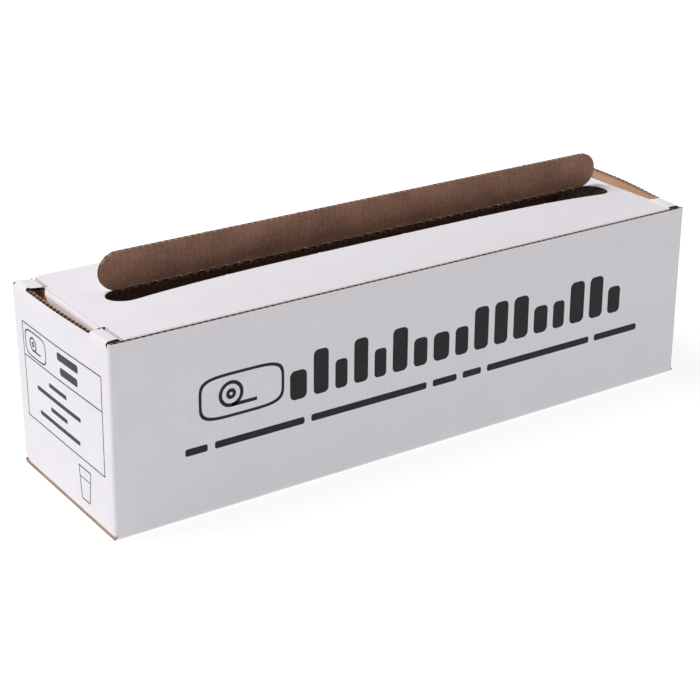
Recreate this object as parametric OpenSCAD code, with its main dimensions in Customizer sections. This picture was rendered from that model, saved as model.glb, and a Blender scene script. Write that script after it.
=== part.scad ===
// Cling film dispenser: a corrugated board carton, folded from one blank, with one loose roll of film.
// X runs along the roll, the front faces -Y, and Z points up from the resting face.
// Every wall is a plate of board between two creases. The lid turns on the back wall's top crease.

/* [Carton] */
// Outside length, along the roll
box_l = 322; // [320:1:340]
// Outside depth, front to back
box_w = 90; // [86:1:110]
// Outside height of the closed carton
box_h = 90; // [84:1:100]
// Thickness of the corrugated board
board_t = 1.6; // [1.2:0.1:1.7]
// Clearance between pieces that move against each other
gap = 0.3; // [0.2:0.05:0.4]

/* [End walls] */
// Outside width of a hollow end wall
wall_w = 7.5; // [7.5:0.1:9]
// Distance from the front to the slot in an end wall
slot_from_front = 18; // [14:1:24]
// Distance from the back to the slot in an end wall
slot_from_back = 13; // [10:1:20]
// Radius of an end panel's lower back corner
low_corner_r = 6; // [2:1:12]
// Radius of an end panel's upper back corner
top_corner_r = 2.5; // [1:0.5:6]
// Depth of the relief notch at a front corner
notch_d = 4.4; // [3:0.2:8]

/* [Lid] */
// Length of the film slot
mouth_l = 286; // [240:1:290]
// Width of the film slot, hinge to cut edge
mouth_w = 18.6; // [14:0.2:24]
// Offset of the film slot to the right of the middle
mouth_x = 4; // [-5:1:5]
// Distance from the back edge to the dispensing flap's hinge
hinge_from_back = 35.8; // [30:0.2:42]
// How far the dispensing flap stands open, from closed
flap_open = 88; // [0:1:150]
// Height of a lid ear below the lid
ear_d = 8.8; // [6:0.2:8.8]
// Height of the front tuck flap below the lid
tuck_d = 25; // [15:1:28]
// Slant of the front tuck flap, inwards from upright
tuck_slant = 10; // [10:1:16]

/* [Film roll] */
// Width of the film and length of the winding
film_l = 300; // [280:1:300]
// Diameter of the full winding
film_d = 71; // [50:1:72]
// Outside diameter of the core tube
core_d = 43; // [40:1:46]
// Wall of the core tube
core_t = 2.5; // [1.5:0.1:3]
// Thickness drawn for the film's free end
tail_t = 0.3; // [0.1:0.05:0.4]
// Arc of the film's free end on the winding
tail_arc = 70; // [20:5:120]

/* [Hidden] */

$fn = 96;

half_l = box_l / 2;
half_w = box_w / 2;

// Planes of the end walls, measured outwards from the middle of the carton
outer_in = half_l - board_t;
inner_in = half_l - wall_w;
inner_out = inner_in + board_t;
lid_half_l = inner_in - gap;
ear_out = inner_out + gap + board_t;

// Levels and depths
under_lid = box_h - board_t;
lid_front = -half_w + board_t + gap;
slot_y0 = -half_w + slot_from_front;
slot_y1 = half_w - slot_from_back;
bridge_skew = 2.9;
end_lift = 0.2;
back_relief = 3;

// Ears, with play in the slots of the end walls
ear_play = 1;
ear_y0 = slot_y0 + ear_play;
ear_y1 = slot_y1 - bridge_skew - ear_play;
ear_taper_front = 7;
ear_taper_back = 16;
raised_edge = box_h - gap;

// Dust flaps
dust_drop = 4;
dust_short = 15;
dust_taper = 10;
dust_lift = 1;
dust_top = box_h - dust_drop;
dust_front = -half_w + dust_short;

// Front tuck flap
tuck_inset = 10;
tuck_taper = 8;
tuck_half_l = half_l - tuck_inset;

// Film slot and dispensing flap
hinge_y = half_w - hinge_from_back;

// Film roll, with the film's free end as its outermost turn
fit = 0.05;
core_proud = 0.5;
core_l = film_l + 2 * core_proud;
tail_r = film_d / 2 + fit + tail_t;
tail_start = 40;
roll_z = board_t + gap + tail_r;
overcut = 1;

// Box between two opposite corners
module slab(low, high) {
  translate(low) cube(high - low);
}

// Plate of board that lies across X, its outline drawn in Y and Z
module plate_across_x(x0) {
  translate([x0, 0, 0]) rotate([90, 0, 90]) linear_extrude(board_t) children();
}

// Plate of board that lies flat, its outline drawn in X and Y
module plate_flat(z0) {
  translate([0, 0, z0]) linear_extrude(board_t) children();
}

// Section of a wall of board, with its two outer corners rounded by the folds
module folded_strip(length) {
  translate([-length / 2 + board_t, 0]) square([length - 2 * board_t, board_t]);
  for (side = [-1, 1])
    translate([side * (length / 2 - board_t), board_t])
      intersection() {
        circle(board_t);
        translate([side > 0 ? 0 : -board_t, -board_t]) square(board_t);
      }
}

// What a rounded corner removes, seen from the centre of its arc
module corner_waste(r) {
  difference() {
    square(r + overcut);
    circle(r);
  }
}

// Stadium outline of the film slot, made smaller all round by inset
module mouth_outline(inset) {
  r = mouth_w / 2 - inset;
  translate([mouth_x, hinge_y - mouth_w / 2]) {
    square([mouth_l - mouth_w, 2 * r], center = true);
    for (side = [-1, 1]) translate([side * (mouth_l - mouth_w) / 2, 0]) circle(r);
  }
}

// Four-sided outline between two levels, shorter at the low one
module tapered_outline(y0, y1, taper0, taper1, low, high) {
  polygon([[y0, high], [y0 + taper0, low], [y1 - taper1, low], [y1, high]]);
}

module front_panel() {
  color("gainsboro") translate([0, -half_w, board_t]) linear_extrude(under_lid) folded_strip(box_l);
}

module bottom_panel() {
  color("whitesmoke") translate([-half_l, 0, 0]) rotate([90, 0, 90])
    linear_extrude(box_l) folded_strip(box_w);
}

module back_panel() {
  color("gainsboro") translate([0, half_w, board_t]) mirror([0, 1, 0])
    linear_extrude(under_lid - gap - board_t) folded_strip(2 * (outer_in - gap));
}

// Outer end panel, with the two free corners at its back rounded
module end_panel(x0) {
  low = board_t + end_lift;
  plate_across_x(x0) difference() {
    translate([-half_w + board_t, low]) square([box_w - board_t, box_h - low]);
    translate([half_w - top_corner_r, box_h - top_corner_r]) corner_waste(top_corner_r);
    translate([half_w - low_corner_r, low + low_corner_r]) mirror([0, 1]) corner_waste(low_corner_r);
  }
}

module left_end_panel() {
  color("whitesmoke") end_panel(-half_l);
}

module right_end_panel() {
  color("whitesmoke") end_panel(outer_in);
}

// Front part of an end wall's top, with the relief notch at the front corner
module front_bridge() {
  plate_flat(under_lid) polygon([
    [inner_in, -half_w + notch_d], [outer_in, -half_w + board_t + gap],
    [outer_in, slot_y0], [inner_in, slot_y0]
  ]);
}

// Back part of an end wall's top
module back_bridge() {
  plate_flat(under_lid) polygon([
    [inner_in, slot_y1 - bridge_skew], [outer_in, slot_y1],
    [outer_in, half_w - board_t], [inner_in, half_w - board_t - back_relief]
  ]);
}

module left_front_bridge() {
  color("whitesmoke") mirror([1, 0, 0]) front_bridge();
}

module left_back_bridge() {
  color("whitesmoke") mirror([1, 0, 0]) back_bridge();
}

module right_front_bridge() {
  color("whitesmoke") front_bridge();
}

module right_back_bridge() {
  color("whitesmoke") back_bridge();
}

// Inner end panel, whose cut edge in the slot lies at slot_edge
module inner_panel(x0, slot_edge) {
  y0 = -half_w + board_t + gap;
  y1 = half_w - board_t - gap;
  plate_across_x(x0) {
    translate([y0, board_t]) square([slot_y0 - y0, under_lid - board_t]);
    translate([slot_y0, board_t]) square([slot_y1 - bridge_skew - slot_y0, slot_edge - board_t]);
    translate([slot_y1 - bridge_skew, board_t])
      square([y1 - slot_y1 + bridge_skew, under_lid - board_t]);
  }
}

module left_inner_panel() {
  color("tan") inner_panel(-inner_out, under_lid - gap);
}

module right_inner_panel() {
  color("tan") inner_panel(inner_in, raised_edge);
}

// Flap of the back wall that the hollow end wall holds
module dust_flap(x0) {
  plate_across_x(x0) polygon([
    [half_w - board_t, board_t + dust_lift], [half_w - board_t, dust_top],
    [dust_front, dust_top - dust_taper], [dust_front, board_t + dust_lift + dust_taper]
  ]);
}

module left_dust_flap() {
  color("burlywood") dust_flap(-outer_in + gap);
}

module right_dust_flap() {
  color("burlywood") dust_flap(outer_in - gap - board_t);
}

// Lid with the film slot, and with the strip that carries the left ear over the end wall
module lid_panel() {
  color("whitesmoke") plate_flat(under_lid) difference() {
    union() {
      polygon([
        [-lid_half_l, lid_front], [lid_half_l, lid_front],
        [lid_half_l, half_w - back_relief], [lid_half_l - back_relief, half_w],
        [-lid_half_l + back_relief, half_w], [-lid_half_l, half_w - back_relief]
      ]);
      translate([-ear_out, ear_y0]) square([ear_out - lid_half_l, ear_y1 - ear_y0]);
    }
    mouth_outline(0);
  }
}

module left_lid_ear() {
  color("gainsboro") plate_across_x(-ear_out)
    tapered_outline(ear_y0, ear_y1, ear_taper_front, ear_taper_back, under_lid - ear_d, under_lid);
}

module right_lid_ear() {
  color("gainsboro") plate_across_x(lid_half_l - board_t)
    tapered_outline(ear_y0, ear_y1, ear_taper_front, ear_taper_back, under_lid - ear_d, under_lid - gap);
}

module front_tuck_flap() {
  color("tan") translate([0, lid_front + board_t, under_lid]) rotate([tuck_slant, 0, 0])
    rotate([90, 0, 0]) linear_extrude(board_t)
      tapered_outline(-tuck_half_l, tuck_half_l, tuck_taper, tuck_taper, -tuck_d, -gap);
}

// Flap cut from the lid, turned up about its crease
module dispensing_flap() {
  color("rosybrown") translate([0, hinge_y, box_h]) rotate([-flap_open, 0, 0])
    translate([0, -hinge_y, -board_t]) linear_extrude(board_t) mouth_outline(gap);
}

// Tube along X, centred on the roll's axis
module roll_tube(length, outer_r, inner_r) {
  translate([-length / 2, 0, roll_z]) rotate([0, 90, 0]) difference() {
    cylinder(h = length, r = outer_r);
    translate([0, 0, -overcut]) cylinder(h = length + 2 * overcut, r = inner_r);
  }
}

module core_tube() {
  color("peru") roll_tube(core_l, core_d / 2, core_d / 2 - core_t);
}

module film_winding() {
  color("lightcyan") roll_tube(film_l, film_d / 2, core_d / 2 + fit);
}

// Free end of the film, lying round the top of the winding
module film_tail() {
  color("azure") translate([-film_l / 2, 0, roll_z]) rotate([0, 90, 0]) rotate([0, 0, 180 - tail_start])
    rotate_extrude(angle = tail_arc) translate([film_d / 2 + fit, 0]) square([tail_t, film_l]);
}

front_panel();
bottom_panel();
back_panel();
left_end_panel();
right_end_panel();
left_front_bridge();
left_back_bridge();
right_front_bridge();
right_back_bridge();
left_inner_panel();
right_inner_panel();
left_dust_flap();
right_dust_flap();
lid_panel();
left_lid_ear();
right_lid_ear();
front_tuck_flap();
dispensing_flap();
core_tube();
film_winding();
film_tail();
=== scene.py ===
"""Cling film dispenser: a carton folded from one blank of corrugated board, with a loose roll of film.

Every board piece has a white liner, a fluted medium and a brown liner, so its cut edges show real flutes.
All sizes are in metres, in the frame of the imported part: X along the roll, the front at -Y, Z up.
"""

import logging
import math
from dataclasses import dataclass, field
from enum import Enum
from typing import Callable, Iterable, Sequence

import bmesh
import bpy
import numpy as np
from mathutils import Euler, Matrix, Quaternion, Vector
from mathutils.geometry import delaunay_2d_cdt


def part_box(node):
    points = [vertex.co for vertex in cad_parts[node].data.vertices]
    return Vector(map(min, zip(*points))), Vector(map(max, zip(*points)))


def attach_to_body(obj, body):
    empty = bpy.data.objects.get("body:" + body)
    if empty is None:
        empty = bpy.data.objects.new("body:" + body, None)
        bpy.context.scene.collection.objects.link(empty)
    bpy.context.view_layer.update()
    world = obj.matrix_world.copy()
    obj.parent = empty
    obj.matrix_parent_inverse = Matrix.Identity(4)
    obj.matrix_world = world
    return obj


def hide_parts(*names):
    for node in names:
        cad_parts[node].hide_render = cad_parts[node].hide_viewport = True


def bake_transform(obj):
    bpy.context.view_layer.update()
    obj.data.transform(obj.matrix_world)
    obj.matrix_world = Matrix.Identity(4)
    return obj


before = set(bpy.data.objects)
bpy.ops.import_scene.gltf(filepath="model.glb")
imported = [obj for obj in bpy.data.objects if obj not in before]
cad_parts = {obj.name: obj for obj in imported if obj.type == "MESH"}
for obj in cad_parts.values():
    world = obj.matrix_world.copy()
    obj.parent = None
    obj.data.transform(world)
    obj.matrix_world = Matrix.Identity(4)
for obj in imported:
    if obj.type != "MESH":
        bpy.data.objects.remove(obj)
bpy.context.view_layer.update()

log = logging.getLogger("dispenser")

Array = np.ndarray
Point = tuple[float, float]
Colour = tuple[float, float, float]
Placer = Callable[[Array, Array, Array], tuple[Array, Array]]

MM = 0.001

HALF_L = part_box("front_panel")[1].x
HALF_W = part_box("bottom_panel")[1].y
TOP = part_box("front_panel")[1].z
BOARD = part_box("bottom_panel")[1].z
LINER = 0.22 * MM
MEDIUM = 0.2 * MM
FLUTE = 3.3 * MM
QUARTER = math.pi / 2
BEYOND = 9.0  # further than any section of board runs


def smooth(values: Array) -> Array:
    """Smooth step of values that run from 0 to 1."""
    t = np.clip(values, 0.0, 1.0)
    return t * t * (3 - 2 * t)


class Body(Enum):
    """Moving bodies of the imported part."""

    CARTON = "carton"
    LID = "lid"
    RIGHT_EAR = "right_ear"
    TUCK_FLAP = "tuck_flap"
    FLAP = "flap"
    ROLL = "roll"


class Slot(Enum):
    """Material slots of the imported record."""

    WHITE = "white_board"
    KRAFT = "kraft_board"
    CORE = "core_board"
    FILM = "film"


# ---------------------------------------------------------------- finishes


class Field:
    """A value or colour that varies over a surface: one output socket, with arithmetic."""

    def __init__(self, graph: "Graph", socket: bpy.types.NodeSocket) -> None:
        """Wraps a socket of the graph."""
        self.graph = graph
        self.socket = socket

    def math(self, operation: str, *others: "Field | float") -> "Field":
        """One Math node on this value and the others."""
        return self.graph.node("ShaderNodeMath", {"operation": operation}, dict(enumerate((self, *others))))

    def __add__(self, other: "Field | float") -> "Field":
        """This value plus another."""
        return self.math("ADD", other)

    def __sub__(self, other: "Field | float") -> "Field":
        """This value less another."""
        return self.math("SUBTRACT", other)

    def __mul__(self, other: "Field | float") -> "Field":
        """This value times another."""
        return self.math("MULTIPLY", other)

    def __rsub__(self, other: float) -> "Field":
        """A number less this value."""
        return self.graph.node("ShaderNodeMath", {"operation": "SUBTRACT"}, {0: other, 1: self})

    __radd__ = __add__
    __rmul__ = __mul__

    def sine(self) -> "Field":
        """Sine of this value."""
        return self.math("SINE")

    def between(self, low: float, high: float) -> "Field":
        """0 below low, 1 above high and a smooth rise between them."""
        return self.graph.node(
            "ShaderNodeMapRange",
            {"interpolation_type": "SMOOTHSTEP"},
            {"Value": self, "From Min": low, "From Max": high},
        )


class Graph:
    """Node tree of one material, with a Principled shader."""

    def __init__(self, name: str) -> None:
        """Makes the material and its shader."""
        self.material = bpy.data.materials.new(name)
        self.material.use_nodes = True
        self.tree = self.material.node_tree
        self.shader = self.tree.nodes["Principled BSDF"]

    def node(
        self,
        kind: str,
        settings: dict[str, object] | None = None,
        sockets: dict[str | int, object] | None = None,
        output: str | int = 0,
    ) -> Field:
        """Adds a node.

        Args:
            kind: the node's type.
            settings: its properties, set first.
            sockets: a value or a Field for each input, by name or number.
            output: the output to return, by name or number.

        Returns:
            The chosen output.
        """
        made = self.tree.nodes.new(kind)
        for name, value in (settings or {}).items():
            setattr(made, name, value)
        for name, value in (sockets or {}).items():
            self.feed(made.inputs[name], value)
        return Field(self, made.outputs[output])

    def feed(self, socket: bpy.types.NodeSocket, value: object) -> None:
        """Links a Field to a socket, or sets a plain value on it.

        Args:
            socket: the input socket.
            value: a Field, a number, a colour or a vector.
        """
        if isinstance(value, Field):
            self.tree.links.new(value.socket, socket)
        elif isinstance(value, tuple) and len(value) == 3 and socket.type == "RGBA":
            socket.default_value = (*value, 1.0)
        else:
            socket.default_value = value

    def set(self, **values: object) -> None:
        """Sets inputs of the shader; an underscore in a name stands for a space."""
        for name, value in values.items():
            self.feed(self.shader.inputs[name.replace("_", " ")], value)

    def mix(self, factor: Field | float, a: Field | Colour, b: Field | Colour) -> Field:
        """Blend of two colours."""
        return self.node("ShaderNodeMix", {"data_type": "RGBA"}, {0: factor, 6: a, 7: b}, output=2)

    def attribute(self, name: str, output: str) -> Field:
        """A mesh attribute."""
        return self.node("ShaderNodeAttribute", {"attribute_name": name}, output=output)

    def scaled(self, vector: Field, factors: Colour) -> Field:
        """A vector times a fixed one, part by part."""
        return self.node("ShaderNodeVectorMath", {"operation": "MULTIPLY"}, {0: vector, 1: factors})

    def noise(self, vector: Field, scale: float, detail: float = 3.0, rough: float = 0.55) -> Field:
        """Noise from 0 to 1."""
        sockets = {"Vector": vector, "Scale": scale, "Detail": detail, "Roughness": rough}
        return self.node("ShaderNodeTexNoise", {}, sockets, output="Fac")

    def bump(self, height: Field, strength: float, distance: float) -> None:
        """Feeds the shader's Normal from a height."""
        sockets = {"Height": height, "Strength": strength, "Distance": distance}
        self.set(Normal=self.node("ShaderNodeBump", {}, sockets))


@dataclass(frozen=True)
class PaperFinish:
    """A liner of the board, with fibres, flecks, a washboard from the flutes in bump and in painted shade,
    and worn folds.
    """

    name: str
    base: Colour
    shade: Colour
    fleck: Colour
    worn: Colour
    mottle: float = 0.5
    fleck_share: float = 0.3
    # How strongly the flute pitch is painted into the tone: painted shade of the washboard's ridges.
    washboard: float = 0.03
    swell: float = 0.5
    wear: float = 0.4
    roughness: float = 0.6

    def make(self) -> bpy.types.Material:
        """Makes the material.

        Returns:
            The material.
        """
        g = Graph(self.name)
        place = g.attribute("blank", "Vector")
        across = g.node("ShaderNodeSeparateXYZ", {}, {0: place}, output="X")
        wave = (across * (2 * math.pi / FLUTE)).sine()
        cloud = g.noise(place, 45.0, 4.0)
        fibre = g.noise(g.scaled(place, (1300.0, 330.0, 1300.0)), 1.0, 5.0, 0.65)
        speck = g.noise(g.scaled(place, (2300.0, 900.0, 2300.0)), 1.0, 2.0).between(0.66, 0.74)
        fold = g.attribute("fold_wear", "Fac")
        crack = fold * g.noise(g.scaled(place, (1400.0, 1400.0, 1400.0)), 1.0, 3.0).between(0.42, 0.7)
        grain = g.noise(g.scaled(place, (620.0, 620.0, 620.0)), 1.0, 6.0, 0.75)
        tone = (cloud * 0.35 + fibre * 0.2 + grain * 0.45).between(0.38, 0.62) * self.mottle
        # Stripes of tone at the flute pitch: painted shade of the washboard's ridges.
        colour = g.mix(tone + wave * self.washboard, self.base, self.shade)
        colour = g.mix(speck * self.fleck_share, colour, self.fleck)
        colour = g.mix(crack * self.wear, colour, self.worn)
        rough = self.roughness + 0.16 * (fibre - 0.5) + 0.1 * crack
        g.set(Base_Color=colour, Roughness=rough, Specular_IOR_Level=0.28)
        swell = wave * (g.noise(g.scaled(place, (160.0, 12.0, 160.0)), 1.0, 2.0) * self.swell)
        height = fibre * 0.45 + swell + cloud * 0.6 - crack * 0.5
        g.bump(height, 0.5, 0.06 * MM)
        return g.material


@dataclass(frozen=True)
class PulpFinish:
    """Raw brown paper, as on cut edges and on the fluted medium, with dark dashes at the flute pitch painted
    as the shade of the flute openings.
    """

    name: str
    light: Colour
    dark: Colour
    # crushed: how strongly the dark dashes are painted in, as painted shade of the flute openings
    crushed: float = 0.0
    fuzz: float = 2600.0
    roughness: float = 0.85

    def make(self) -> bpy.types.Material:
        """Makes the material.

        Returns:
            The material.
        """
        g = Graph(self.name)
        place = g.node("ShaderNodeTexCoord", {}, output="Object")
        fine = g.noise(place, self.fuzz, 4.0, 0.7)
        broad = g.noise(place, self.fuzz / 9, 3.0)
        tone = (fine * 0.65 + broad * 0.35).between(0.34, 0.66)
        across = g.node("ShaderNodeSeparateXYZ", {}, {0: g.attribute("blank", "Vector")}, output="X")
        # Dark dashes across the flutes: painted shade of the hollows between the flutes.
        flute_hollow_shade = (across * (2 * math.pi / FLUTE) + broad * 0.8).sine().between(-0.3, 0.5)
        colour = g.mix(tone, self.dark, self.light)
        colour = g.mix(flute_hollow_shade * self.crushed, colour, tuple(0.16 * part for part in self.dark))
        g.set(Base_Color=colour, Roughness=self.roughness - 0.12 * fine)
        g.set(Specular_IOR_Level=0.2)
        g.bump(fine, 0.8, 0.08 * MM)
        return g.material


@dataclass(frozen=True)
class InkFinish:
    """Flexographic ink on the white liner: dense, with pinholes and a soft edge to its tone."""

    name: str
    solid: Colour
    thin: Colour

    def make(self) -> bpy.types.Material:
        """Makes the material.

        Returns:
            The material.
        """
        g = Graph(self.name)
        place = g.node("ShaderNodeTexCoord", {}, output="Object")
        cloud = g.noise(place, 260.0, 4.0, 0.6)
        pin = g.noise(place, 3400.0, 2.0).between(0.63, 0.75)
        tone = cloud.between(0.35, 0.8) * 0.55 + pin * 0.4
        g.set(Base_Color=g.mix(tone, self.solid, self.thin), Roughness=0.5 + 0.2 * cloud)
        g.set(Specular_IOR_Level=0.25)
        g.bump(pin, 0.3, 0.02 * MM)
        return g.material


@dataclass(frozen=True)
class CoreFinish:
    """Spirally wound grey-brown tube board, with a seam every turn of the strip."""

    name: str
    base: Colour
    shade: Colour
    seam: Colour
    lead: float = 62.0 * MM

    def make(self) -> bpy.types.Material:
        """Makes the material.

        Returns:
            The material.
        """
        g = Graph(self.name)
        place = g.attribute("blank", "Vector")
        turn = g.node("ShaderNodeSeparateXYZ", {}, {0: place}, output="X")
        along = g.node("ShaderNodeSeparateXYZ", {}, {0: place}, output="Y")
        spiral = (along * (1 / self.lead) + turn).math("FRACT")
        seam = 1 - spiral.between(0.0, 0.02) + spiral.between(0.985, 1.0)
        solid = g.node("ShaderNodeTexCoord", {}, output="Object")
        fibre = g.noise(g.scaled(solid, (500.0, 1700.0, 1700.0)), 1.0, 5.0, 0.65)
        colour = g.mix(fibre.between(0.3, 0.7), self.base, self.shade)
        g.set(Base_Color=g.mix(seam * 0.6, colour, self.seam), Roughness=0.7 + 0.15 * fibre)
        g.set(Specular_IOR_Level=0.25)
        g.bump(fibre * 0.5 - seam, 0.6, 0.12 * MM)
        return g.material


@dataclass(frozen=True)
class WoundFilmFinish:
    """Wound cling film: milky and glossy, with stretch bands round it and rings on its ends."""

    name: str
    clear: Colour
    milky: Colour

    def make(self) -> bpy.types.Material:
        """Makes the material.

        Returns:
            The material.
        """
        g = Graph(self.name)
        solid = g.node("ShaderNodeTexCoord", {}, output="Object")
        bands = g.noise(g.scaled(solid, (260.0, 22.0, 22.0)), 1.0, 4.0, 0.6)
        wrinkle = g.noise(g.scaled(solid, (60.0, 240.0, 240.0)), 1.0, 4.0, 0.55)
        rings = g.attribute("blank", "Vector")
        ring = g.node("ShaderNodeSeparateXYZ", {}, {0: rings}, output="Z")
        rung = (ring * (2 * math.pi / (0.6 * MM))).sine() * 0.5 + 0.5
        tone = bands.between(0.3, 0.7) * 0.6 + rung * 0.25
        g.set(Base_Color=g.mix(tone, self.milky, self.clear), Roughness=0.14 + 0.16 * wrinkle)
        g.set(Subsurface_Weight=0.15, Subsurface_Radius=(0.004, 0.004, 0.004), IOR=1.5)
        g.set(Coat_Weight=0.5, Coat_Roughness=0.08)
        g.bump(bands * 0.6 + wrinkle * 0.5 + rung * 0.12, 0.35, 0.25 * MM)
        return g.material


@dataclass(frozen=True)
class LooseFilmFinish:
    """A single layer of clear film, mostly seen by its gloss and by its creases."""

    name: str
    tint: Colour
    cover: float = 0.32

    def make(self) -> bpy.types.Material:
        """Makes the material.

        Returns:
            The material.
        """
        g = Graph(self.name)
        solid = g.node("ShaderNodeTexCoord", {}, output="Object")
        crease = g.noise(g.scaled(solid, (110.0, 420.0, 420.0)), 1.0, 5.0, 0.6)
        ridge = crease.between(0.48, 0.62)
        g.set(Base_Color=g.mix(ridge * 0.5, self.tint, (1.0, 1.0, 1.0)), Roughness=0.07 + 0.12 * ridge)
        g.set(Alpha=self.cover + 0.3 * ridge, IOR=1.5)
        g.bump(crease, 0.5, 0.3 * MM)
        return g.material


@dataclass
class Finishes:
    """Every finish of the dispenser, made once."""

    white: bpy.types.Material = field(init=False)
    kraft: bpy.types.Material = field(init=False)
    lit_end_kraft: bpy.types.Material = field(init=False)
    shaded_flap_kraft: bpy.types.Material = field(init=False)
    medium: bpy.types.Material = field(init=False)
    shaded_medium: bpy.types.Material = field(init=False)
    pulp: bpy.types.Material = field(init=False)
    brown_pulp: bpy.types.Material = field(init=False)
    ink: bpy.types.Material = field(init=False)
    thin_ink: bpy.types.Material = field(init=False)
    core: bpy.types.Material = field(init=False)
    wound: bpy.types.Material = field(init=False)
    loose: bpy.types.Material = field(init=False)

    def __post_init__(self) -> None:
        """Makes the materials."""
        self.white = PaperFinish(
            "white_liner", (0.84, 0.815, 0.85), (0.76, 0.73, 0.765), (0.5, 0.42, 0.38), (0.62, 0.57, 0.54),
            mottle=0.45, fleck_share=0.1, washboard=0.05, wear=0.3, roughness=0.56,
        ).make()
        self.kraft = PaperFinish(
            "brown_liner", (0.62, 0.395, 0.265), (0.44, 0.27, 0.175), (0.16, 0.09, 0.055), (0.6, 0.42, 0.3),
            mottle=0.9, fleck_share=0.4, washboard=0.1, wear=0.4, roughness=0.72,
        ).make()
        # The brown liner painted lighter: painted light on the end walls' brown faces.
        self.lit_end_kraft = PaperFinish(
            "end_wall_brown_liner_painted_light",
            (0.8, 0.52, 0.35), (0.62, 0.39, 0.255), (0.3, 0.17, 0.11), (0.7, 0.5, 0.36),
            mottle=0.8, fleck_share=0.4, washboard=0.12, wear=0.4, roughness=0.72,
        ).make()
        # The brown liner painted darker: painted shade on the flap's brown face.
        self.shaded_flap_kraft = PaperFinish(
            "flap_brown_liner_painted_shade",
            (0.48, 0.255, 0.175), (0.25, 0.125, 0.083), (0.1, 0.05, 0.035), (0.42, 0.28, 0.2),
            mottle=0.9, fleck_share=0.45, washboard=0.05, wear=0.4, roughness=0.7,
        ).make()
        self.medium = PulpFinish("fluted_medium", (0.42, 0.26, 0.18), (0.16, 0.09, 0.06)).make()
        # Medium with its dark dashes in full: painted shade in the hollows of the folded walls and raw edges.
        self.shaded_medium = PulpFinish(
            "fluted_medium_painted_shade", (0.5, 0.33, 0.26), (0.26, 0.16, 0.12), crushed=1.0,
        ).make()
        # Cut edges of both liners, with dark dashes painted as the shade of the flute openings.
        self.pulp = PulpFinish("cut_pulp", (0.8, 0.58, 0.44), (0.58, 0.37, 0.26), crushed=0.75).make()
        self.brown_pulp = PulpFinish(
            "cut_brown_pulp", (0.5, 0.31, 0.22), (0.26, 0.15, 0.105), crushed=0.95,
        ).make()
        self.ink = InkFinish("black_ink", (0.012, 0.01, 0.014), (0.03, 0.026, 0.033)).make()
        self.thin_ink = InkFinish("grey_ink", (0.04, 0.036, 0.045), (0.11, 0.105, 0.12)).make()
        self.core = CoreFinish(
            "core_board", (0.36, 0.27, 0.2), (0.27, 0.2, 0.145), (0.12, 0.085, 0.06),
        ).make()
        self.wound = WoundFilmFinish("wound_film", (0.62, 0.7, 0.72), (0.8, 0.84, 0.85)).make()
        self.loose = LooseFilmFinish("loose_film", (0.85, 0.9, 0.92)).make()

    def board(self) -> list[bpy.types.Material]:
        """Materials of a board piece, in the order of Layer."""
        return [self.white, self.kraft, self.medium, self.pulp, self.brown_pulp]

    def wrap_board(self) -> list[bpy.types.Material]:
        """Materials of the carton's wrap, with painted shade in the hollows at its raw edges."""
        return [self.white, self.kraft, self.shaded_medium, self.pulp, self.brown_pulp]

    def flap_board(self) -> list[bpy.types.Material]:
        """Materials of the dispensing flap, with a brown liner painted darker as shade, and pale raw edges.
        """
        return [self.white, self.shaded_flap_kraft, self.pulp, self.pulp, self.pulp]

    def end_board(self) -> list[bpy.types.Material]:
        """Materials of the end walls, with the brown liner painted lighter as light, painted shade in the
        hollows, and both liners pale at the raw edges.
        """
        return [self.white, self.lit_end_kraft, self.shaded_medium, self.pulp, self.pulp]

    def hinge_board(self) -> list[bpy.types.Material]:
        """Materials of the flap's torn hinge, with the flap's brown liner painted darker as shade, and brown
        at its raw edges.
        """
        return [self.white, self.shaded_flap_kraft, self.medium, self.brown_pulp, self.brown_pulp]


# ---------------------------------------------------------------- meshes


class Layer(Enum):
    """Material numbers of a board piece."""

    WHITE = 0
    KRAFT = 1
    MEDIUM = 2
    PULP = 3
    BROWN_PULP = 4


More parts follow.
